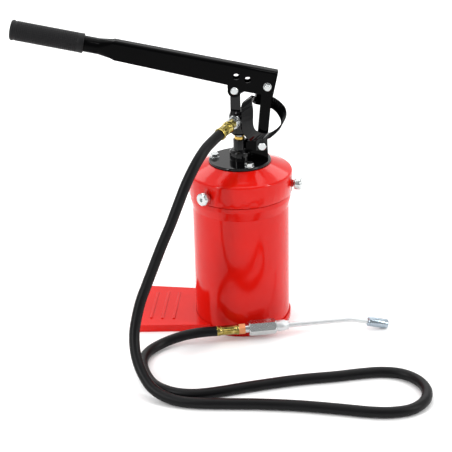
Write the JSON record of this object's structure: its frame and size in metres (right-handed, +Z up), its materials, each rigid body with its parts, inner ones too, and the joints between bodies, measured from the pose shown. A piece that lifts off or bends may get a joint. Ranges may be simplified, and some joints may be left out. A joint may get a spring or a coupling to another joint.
{
  "type": "bucket grease gun",
  "caption": "Hand-lever bucket grease pump: lidded can with foot plate, lever and link that lift a hollow-rod pump, and a hose with a stiff greasing nozzle.",
  "frame": {"origin": "on the ground at the bucket's axis: the centre of the ring that the bucket stands on", "axes": "+Z up along the bucket and the pump rod; -X towards the lever's grip and the foot plate; -Y towards the side where the hose lies"},
  "size_m": [0.5983, 0.4122, 0.4923],
  "materials": {
    "red_enamel": "glossy sprayed and stoved enamel on sheet steel",
    "black_enamel": "glossy black enamel on steel",
    "zinc_plate": "bright zinc plate on steel",
    "yellow_zinc": "yellow passivated zinc on crimped steel",
    "copper_plate": "copper-toned plated steel",
    "tip_steel": "turned and plated steel, a little blue",
    "pump_steel": "drawn and turned steel",
    "rod_chrome": "ground and chromed rod",
    "brass": "turned brass",
    "seal_rubber": "moulded nitrile rubber",
    "grip_rubber": "knurled moulded rubber sleeve",
    "hose_rubber": "satin extruded rubber cover"
  },
  "bodies": {
    "root": {"bucket_body": "red_enamel", "base_ring": "red_enamel", "foot_plate": "red_enamel", "bucket_lid": "red_enamel", "lid_gasket": "seal_rubber", "lid_weld_nuts": "red_enamel", "lid_screws": "zinc_plate", "pump_base": "black_enamel", "base_gasket": "seal_rubber", "flange_bolts": "zinc_plate", "flange_washers": "zinc_plate", "link_bracket": "black_enamel", "carry_loop": "black_enamel", "bracket_pin": "zinc_plate", "bracket_nut": "zinc_plate", "barrel_tube": "pump_steel", "barrel_foot": "pump_steel", "foot_ball": "pump_steel", "gland_packing": "seal_rubber", "gland_bush": "brass", "follower_plate": "pump_steel", "follower_wiper": "seal_rubber", "hose": "hose_rubber", "nozzle_ferrule": "yellow_zinc", "nozzle_hex": "copper_plate", "coupler_stub": "zinc_plate", "coupler_body": "zinc_plate", "coupler_collar": "zinc_plate", "nozzle_pipe": "zinc_plate", "nozzle_tip": "tip_steel", "tip_jaws": "tip_steel"},
    "head": {"head_block": "black_enamel", "piston_rod": "rod_chrome", "piston": "pump_steel", "piston_seal": "seal_rubber", "check_ball": "pump_steel", "check_spring": "pump_steel", "check_plug": "brass", "outlet_nut": "zinc_plate", "head_insert": "yellow_zinc", "head_ferrule": "yellow_zinc"},
    "lever": {"lever_beam": "black_enamel", "lever_grip": "grip_rubber", "rod_pin": "zinc_plate", "rod_pin_nut": "zinc_plate", "link_bolt": "zinc_plate", "link_nut": "zinc_plate", "link_washers": "zinc_plate"},
    "link": {"link_bar": "black_enamel", "link_bush": "brass"}
  },
  "joints": [
    {"name": "head_lift", "type": "slide", "parent": "root", "child": "head", "axis": [0, 0, 1], "range_m": [-0.003, 0.0265], "deforming": ["hose"]},
    {"name": "lever_swing", "type": "hinge", "parent": "head", "child": "lever", "pos_m": [-0.0064, 0, 0.3795], "axis": [0, 1, 0], "range_deg": [-3, 30]},
    {"name": "link_swing", "type": "hinge", "parent": "root", "child": "link", "pos_m": [0.03352, 0, 0.29257], "axis": [0, 1, 0], "range_deg": [-2.5, 2.5]}
  ],
  "couplings": [
    {"joint": "head_lift", "follows": "lever_swing", "m_per_rad": 0.0491},
    {"joint": "link_swing", "follows": "lever_swing", "ratio": -0.06}
  ]
}
